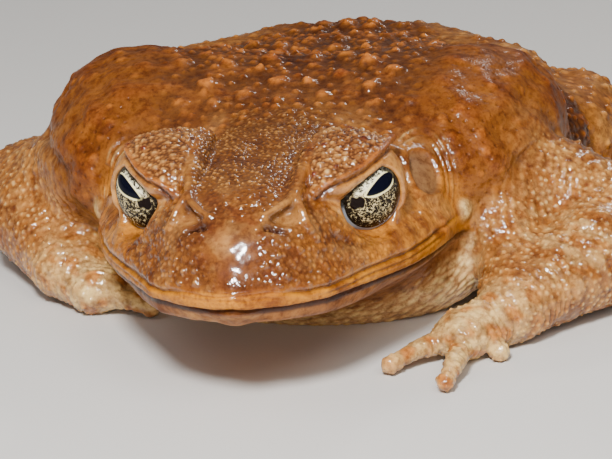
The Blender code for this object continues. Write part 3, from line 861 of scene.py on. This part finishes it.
def wrinkle_arms(skin):
    """Cross wrinkles, tubercles and pits of the arms with painted shade in their hollows, the pale palms,
    and a painted highlight on the left forearm.
    """
    where, lift, points, paint, strew = skin.where, skin.lift, skin.points, skin.paint, skin.strew
    medium, fine, small, blotch = skin.medium, skin.fine, skin.small, skin.blotch
    arms = where["arms"]
    elbow = np.where(points[:, :1] > 0, LEFT_ELBOW, RIGHT_ELBOW)
    ring = lengths(points - elbow)
    wrinkles = np.sin((ring + 0.8 * ripple(points, 9, 63) + 0.25 * small) * 2 * math.pi / 1.5)
    lift += 0.13 * wrinkles * arms * smooth(-0.9, 0.5, medium)
    paint(TAN, 0.45 * smooth(0.0, 1, wrinkles) * arms)
    # Painted shade in the wrinkles' troughs.
    paint(DARK, 0.22 * smooth(-0.2, -1, wrinkles) * arms)
    paint(RUST, 0.32 * smooth(0.1, 0.9, -blotch - 0.5 * small) * arms)
    rise, chance = strew(where["arm"], 2.3, (0.5, 1.0), 67, 0.04, 0.30)
    paint(TAN, 0.45 * smooth(0.3, 1, rise) * chance)
    rise, chance = strew(arms, 1.0, (0.28, 0.52), 68, 0.05, 0.19)
    paint(CREAM, 0.55 * smooth(0.3, 1, rise) * chance)
    # Painted shade between the small tubercles.
    paint(DARK, 0.28 * smooth(0.15, 0.0, rise) * arms)
    rise, chance = strew(arms * smooth(0.0, 0.6, blotch), 2.2, (0.5, 1.0), 69)
    paint(RUST, 0.75 * smooth(0.0, 1, rise) * (chance > 0.6))
    paint(TAN, 0.45 * where["hand"])
    paint(CREAM, 0.48 * where["hand"] * smooth(-1.0, 0.4, -small))
    paint(ORANGE, 0.35 * smooth(0.2, 1.0, small) * where["hand"])
    paint(RUST, 0.25 * smooth(0.4, 1.0, fine + 0.5 * medium) * where["hand"])
    # Painted highlight: the left forearm's middle made paler.
    paint(CREAM, 0.35 * bell(lengths(points - FOREARM_HIGHLIGHT), 8.0) * arms
          * smooth(-0.4, 0.7, small))
    reach = lengths(points - np.where(points[:, :1] > 0, LEFT_PALM, RIGHT_PALM))
    paint(ORANGE, 0.30 * where["hand"] * smooth(10.5, 14.0, reach))


def streak_chest(skin):
    """The chest's pale streaks with painted shade between them, and its raised edge along the arms with a
    painted highlight.
    """
    where, lift, points, paint, strew = skin.where, skin.lift, skin.points, skin.paint, skin.strew
    small = skin.small
    edge = np.clip(4 * where["arm"] * where["trunk"], 0, 1) * smooth(-5, -15, points[:, 1])
    lift += 0.25 * edge
    # Painted highlight along the raised fold where the chest meets the arms.
    paint(CREAM, 0.5 * edge * smooth(-0.8, 0.4, small))
    side = np.abs(points[:, 0])
    along, across = 0.8 * side + 0.6 * points[:, 2], 0.6 * side - 0.8 * points[:, 2]
    streaks = np.stack([0.30 * along + 100 * np.sign(points[:, 0]), 0.8 * points[:, 1], across], axis=1)
    rise, chance = strew(where["chest"], 0.80, (0.42, 0.66), 71, 0.22, at=streaks)
    paint(CREAM, 0.8 * smooth(0.2, 1, rise) * (0.35 + 0.65 * chance))
    # Painted shade between the chest's streaks.
    paint(RUST, 0.35 * smooth(0.25, 0, rise) * where["chest"])


def shape_and_tone(mesh):
    """Raises the skin's warts, folds and pores, and gives each point its colour, grain and wetness."""
    skin = Skin(mesh)
    for step in (paint_ground, fold_lips, shape_face, bead_face, wart_back, mark_glands, wrinkle_arms,
                 streak_chest):
        step(skin)
    where, lift, points, paint = skin.where, skin.lift, skin.points, skin.paint
    medium, fine = skin.medium, skin.fine
    face, arms, limbs = where["face"], where["arms"], where["limbs"]
    _, y, _ = skin.head.T
    lift += (0.12 * medium * (where["back"] + limbs)
             + 0.04 * fine * (1 - where["ear"]) * (1 - where["ridge"]))
    paint(DARK, 0.22 * smooth(0.2, 1.2, fine) * (1 - where["upper_lip"]))
    points = skin.points + skin.normals * lift[:, None]
    points[:, 2] = np.maximum(points[:, 2], 0.0)
    set_vertices(mesh, (points + SHIFT) * MM)
    add_attribute(mesh, "tone", "FLOAT_COLOR", np.clip(skin.tone, 0.003, 1))
    grain = np.clip(1 - 0.75 * where["ear"] - 0.6 * where["lid_band"] - 0.5 * where["upper_lip"]
                    - 0.8 * where["ridge"] - 0.9 * where["muzzle"] + 1.2 * where["crown"]
                    + 0.4 * where["granular"], 0.08, 2.5)
    near_head = smooth(-5, -20, points[:, 1])
    wet = (0.20 + 0.70 * face + 0.5 * arms + 0.4 * where["nape"] * near_head * (1 - face)
           - 0.12 * where["gland"] - 0.75 * where["ear"] - 0.8 * where["lower_lip"] - 0.8 * where["mouth"]
           - 0.55 * where["upper_lip"] + 0.2 * where["chest"] - 0.4 * where["crown"] * smooth(-8, 4, y))
    add_attribute(mesh, "grain", "FLOAT", grain)
    add_attribute(mesh, "wet", "FLOAT", np.clip(wet, 0.05, 1))


def node(tree, kind, links=None, **settings):
    made = tree.nodes.new("ShaderNode" + kind)
    for key, value in settings.items():
        setattr(made, key, value)
    for name, value in (links or {}).items():
        if isinstance(value, bpy.types.NodeSocket):
            tree.links.new(value, made.inputs[name])
        else:
            made.inputs[name].default_value = value
    return made


def new_material(name, settings):
    material = bpy.data.materials.new(name)
    material.use_nodes = True
    shader = material.node_tree.nodes["Principled BSDF"]
    for key, value in settings.items():
        shader.inputs[key].default_value = value
    return material, material.node_tree, shader


def mixed(tree, amount, first, second, blend="MIX"):
    made = tree.nodes.new("ShaderNodeMix")
    made.data_type = "RGBA"
    made.blend_type = blend
    for index, value in ((0, amount), (6, first), (7, second)):
        if isinstance(value, bpy.types.NodeSocket):
            tree.links.new(value, made.inputs[index])
        else:
            made.inputs[index].default_value = value
    return made.outputs[2]


def ranged(tree, value, low, high, first, last):
    """The value's place between low and high, given again between first and last."""
    made = node(tree, "MapRange", {0: value, 1: low, 2: high, 3: first, 4: last})
    return made.outputs[0]


def skin_material():
    """Moist skin: the mesh's tone, mottled at three sizes, under a film as wet as the mesh says."""
    material, tree, shader = new_material("toad_skin", {
        "Coat Roughness": 0.12, "Coat IOR": 1.65, "Specular IOR Level": 0.12, "IOR": 1.4,
    })
    place = node(tree, "TexCoord").outputs["Object"]
    tone = node(tree, "Attribute", attribute_name="tone").outputs["Color"]
    grain = node(tree, "Attribute", attribute_name="grain").outputs["Fac"]
    wet = node(tree, "Attribute", attribute_name="wet").outputs["Fac"]
    cells = node(tree, "TexVoronoi", {"Vector": place, "Scale": 2000.0, "Randomness": 1.0})
    speckle, freckles, patches = (
        node(tree, "TexNoise",
             {"Vector": place, "Scale": scale, "Detail": detail, "Roughness": rough})
        for scale, detail, rough in ((1100.0, 4.0, 0.65), (420.0, 5.0, 0.7), (130.0, 5.0, 0.62))
    )
    colour = tone
    for noise, low, high, most, tint in (
        (patches, 0.48, 0.64, 0.70, (0.60, 0.46, 0.36, 1)),
        (freckles, 0.50, 0.64, 0.75, (0.46, 0.32, 0.24, 1)),
        (freckles, 0.46, 0.34, 0.50, (1.35, 1.45, 1.3, 1)),
        (speckle, 0.48, 0.66, 0.65, (0.45, 0.34, 0.28, 1)),
    ):
        amount = ranged(tree, noise.outputs["Fac"], low, high, 0.0, most)
        colour = mixed(tree, amount, colour, mixed(tree, 1.0, colour, tint, "MULTIPLY"))
    tree.links.new(colour, shader.inputs["Base Color"])
    tree.links.new(wet, shader.inputs["Coat Weight"])
    dull = ranged(tree, patches.outputs["Fac"], 0.3, 0.7, 0.34, 0.55)
    tree.links.new(dull, shader.inputs["Roughness"])
    pebbles = node(tree, "Math", {0: cells.outputs["Distance"], 1: grain}, operation="MULTIPLY")
    small = node(tree, "Bump",
                 {"Height": pebbles.outputs[0], "Distance": 0.00008, "Strength": 0.55}, invert=True)
    tiny = node(tree, "Bump", {
        "Height": speckle.outputs["Fac"], "Distance": 0.00012, "Strength": 0.4,
        "Normal": small.outputs["Normal"],
    })
    tree.links.new(tiny.outputs["Normal"], shader.inputs["Normal"])
    tree.links.new(small.outputs["Normal"], shader.inputs["Coat Normal"])
    return material


def eye_material():
    """A wet eye: the mesh's iris colours, marbled with black where the mesh says, under a clear film."""
    material, tree, shader = new_material("toad_eye", {
        "Roughness": 0.5, "Specular IOR Level": 0.0,
        "Coat Weight": 1.0, "Coat Roughness": 0.03, "Coat IOR": 1.2,
    })
    gaze = node(tree, "Attribute", attribute_name="gaze")
    tone = node(tree, "Attribute", attribute_name="iris").outputs["Color"]
    fleck = node(tree, "Attribute", attribute_name="fleck").outputs["Fac"]
    place = gaze.outputs["Vector"]
    noise = node(tree, "TexNoise", {
        "Vector": place, "Scale": 2.2, "Detail": 5.0, "Roughness": 0.8, "Distortion": 0.5,
    })
    level = node(tree, "Math", {0: fleck, 1: 0.22, 2: noise.outputs["Fac"]},
                 operation="MULTIPLY_ADD")
    spots = ranged(tree, level.outputs[0], 0.685, 0.715, 0.0, 1.0)
    colour = mixed(tree, spots, tone, (0.012, 0.008, 0.005, 1))
    tree.links.new(colour, shader.inputs["Base Color"])
    uneven = node(tree, "Bump",
                  {"Height": noise.outputs["Fac"], "Distance": 0.00008, "Strength": 0.3})
    tree.links.new(uneven.outputs["Normal"], shader.inputs["Normal"])
    return material


def eye_piece(side, material):
    """One eyeball with a bulging cornea, its iris and pupil drawn by angle from its gaze."""
    eye_node = "eye_left" if side > 0 else "eye_right"
    mirror = np.array((side, 1, 1))
    gaze, axis = GAZE, OPENING_AXIS
    rear = direction(65, 20)
    along = rear - gaze * (rear @ gaze)
    along /= np.linalg.norm(along)
    across = np.cross(along, gaze)
    if across[2] < 0:
        across = -across
    rings, spokes = 200, 260
    angle = np.linspace(0, 1, rings) * math.pi * 0.62
    turn = np.linspace(0, 2 * math.pi, spokes, endpoint=False)
    ring, spin = np.meshgrid(angle, turn, indexing="ij")
    ring, spin = ring.ravel(), spin.ravel()
    ways = (np.cos(ring)[:, None] * gaze + (np.sin(ring) * np.cos(spin))[:, None] * along
            + (np.sin(ring) * np.sin(spin))[:, None] * across)
    radius = EYE_RADIUS - 0.02 + 0.22 * bell(ring, 0.55)
    points = EYE + ways * radius[:, None]
    u = np.arctan2(ways @ along, ways @ gaze) * EYE_RADIUS
    v = np.arcsin(np.clip(ways @ across, -1, 1)) * EYE_RADIUS
    index = np.arange(rings * spokes).reshape(rings, spokes)
    onward = np.roll(index, -1, axis=1)
    faces = np.stack([index[:-1], index[1:], onward[1:], onward[:-1]], axis=-1).reshape(-1, 4)
    if side > 0:
        faces = faces[:, ::-1]
    mesh = mesh_from("wet_" + eye_node, (from_head(points * mirror) + SHIFT) * MM, faces)
    working = bmesh.new()
    working.from_mesh(mesh)
    bmesh.ops.contextual_create(working, geom=[e for e in working.edges if e.is_boundary])
    bmesh.ops.recalc_face_normals(working, faces=list(working.faces))
    working.to_mesh(mesh)
    working.free()

    centre, half = PUPILS[side]
    s = (u - centre) / half
    reach = PUPIL_HEIGHT * np.clip(1 - s**2, 0, 1) ** 0.62 * (1 + 0.32 * s)
    outside = np.where(np.abs(s) < 1, np.abs(v - 0.12 * s) - reach, np.hypot((np.abs(s) - 1) * half, v))
    pupil = smooth(0.05, -0.05, outside)
    rim = smooth(0.40, 0.22, outside + 0.06 * ripple(points, 1.0, 5)) * (1 - pupil)
    above = smooth(0.1, 0.9, v) * smooth(-4.4, -3.2, u)
    lid = (ways @ LID_EDGE) * EYE_RADIUS
    edge = np.degrees(np.arccos(np.clip(ways @ axis, -1, 1)))
    tone = np.empty((len(points), 3))
    tone[:] = (0.66, 0.53, 0.27)

    def paint(colour, amount):
        tone[:] = mix(tone, np.array(colour), np.clip(amount, 0, 1)[:, None])

    paint((0.92, 0.85, 0.58), above)
    patch = np.degrees(np.arccos(np.clip(ways @ direction(12, -6), -1, 1)))
    brown = smooth(9.3, 7.3, patch + 1.3 * ripple(points, 1.1, 15))
    paint((0.005, 0.0016, 0.001), brown)
    paint((0.93, 0.83, 0.40), rim * (1 - 0.7 * brown))
    low = smooth(24, 37, edge) * smooth(0.3, -0.8, v)
    # Painted shade on the eyeball round the opening's edge and along the upper lid's edge.
    lid_shade = np.maximum(smooth(36.0, 38.0, edge + 1.2 * ripple(points, 0.9, 27)),
                      smooth(-1.45, -1.05, lid + 0.22 * ripple(points, 0.7, 25)))
    paint((0.012, 0.009, 0.008), 0.95 * lid_shade)
    below = smooth(39.0, 40.0, edge) * smooth(0.0, -0.35, ways[:, 2])
    paint((0.26, 0.29, 0.33), 0.9 * below)
    paint((0.0025, 0.003, 0.008), pupil)
    near_lid = smooth(-2.6, -1.3, lid) * above
    flecks = (1.12 + 0.35 * low) * (1 - above) + (0.40 + 0.5 * near_lid) * above
    flecks *= (1 - pupil) * (1 - 0.9 * rim) * (1 - 0.6 * brown) * (1 - below)
    add_attribute(mesh, "iris", "FLOAT_COLOR", tone)
    add_attribute(mesh, "fleck", "FLOAT", flecks)
    add_attribute(mesh, "gaze", "FLOAT_VECTOR", np.stack([u, v, np.full(len(points), side * 3.0)], axis=1))
    add_piece("wet_" + eye_node, mesh, material, "iris", eye_node)


def make_skin():
    mesh = build_skin()
    shape_and_tone(mesh)
    flesh_nodes = [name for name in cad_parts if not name.startswith("eye")]
    add_piece("toad_skin", mesh, skin_material(), "skin", *flesh_nodes)


def make_eyes():
    material = eye_material()
    for side in (1, -1):
        eye_piece(side, material)


def make_floor():
    working = bmesh.new()
    bmesh.ops.create_grid(working, x_segments=2, y_segments=2, size=3.0)
    mesh = bpy.data.meshes.new("floor")
    working.to_mesh(mesh)
    working.free()
    mesh.materials.append(new_material("floor", {"Base Color": (0.62, 0.60, 0.57, 1), "Roughness": 0.7})[0])
    add_object("floor", mesh)


def add_light(name, where, target, size, power, colour=(1, 1, 1), mirrored=True):
    light = bpy.data.lights.new(name, "AREA")
    light.shape = "DISK"
    light.size = size
    light.energy = power
    light.color = colour
    lamp = add_object(name, light)
    lamp.location = where
    lamp.rotation_mode = "QUATERNION"
    lamp.rotation_quaternion = (Vector(target) - Vector(where)).to_track_quat("-Z", "Y")
    lamp.visible_glossy = mirrored


# The camera's sensor in millimetres, its distance and the size of a pixel there in metres.
SENSOR = 36.0
CAMERA_AWAY = 0.5
PIXEL_SIZE = 0.000155
PHOTO_WIDTH = 612


def make_camera():
    """The photo's camera: 10 degrees round to the toad's left, 20 above, rolled 3.4, half a metre off."""
    turn, rise, roll = (math.radians(a) for a in (10.0, 20.0, 3.4))
    back = Vector((math.sin(turn) * math.cos(rise), -math.cos(turn) * math.cos(rise), math.sin(rise)))
    right = Vector((math.cos(turn), math.sin(turn), 0))
    up = back.cross(right)
    right, up = (right * math.cos(roll) - up * math.sin(roll), up * math.cos(roll) + right * math.sin(roll))
    aim = Vector((EYES_MIDDLE + SHIFT) * MM) + right * 0.0075 - up * 0.0065
    camera = add_object("camera", bpy.data.cameras.new("camera"))
    camera.data.sensor_width = SENSOR
    camera.data.lens = SENSOR * CAMERA_AWAY / (PHOTO_WIDTH * PIXEL_SIZE)
    camera.data.clip_start = 0.01
    placed = Matrix((right, up, back)).transposed().to_4x4()
    placed.translation = aim + back * CAMERA_AWAY
    camera.matrix_world = placed
    bpy.context.scene.camera = camera


def make_studio():
    make_camera()
    world = bpy.data.worlds.new("studio")
    world.use_nodes = True
    background = world.node_tree.nodes["Background"]
    background.inputs["Color"].default_value = (0.95, 0.96, 1.0, 1)
    background.inputs["Strength"].default_value = 0.15
    bpy.context.scene.world = world
    middle = (0, -0.03, 0.02)
    add_light("key", (0.28, -0.42, 0.50), middle, 0.30, 1.7, (1, 0.97, 0.92), mirrored=False)
    add_light("fill", (-0.32, -0.20, 0.50), middle, 0.30, 0.5, (1, 0.97, 0.95), mirrored=False)
    add_light("low", (0.05, -0.60, 0.12), middle, 0.30, 0.9, (1, 0.95, 0.90), mirrored=False)
    add_light("rim", (0.15, 0.5, 0.4), middle, 0.08, 0.6, (1, 0.98, 0.96))
    add_light("flash", (0.010, -0.385, 0.375), middle, 0.09, 4.6)


make_skin()
make_eyes()
make_floor()
make_studio()
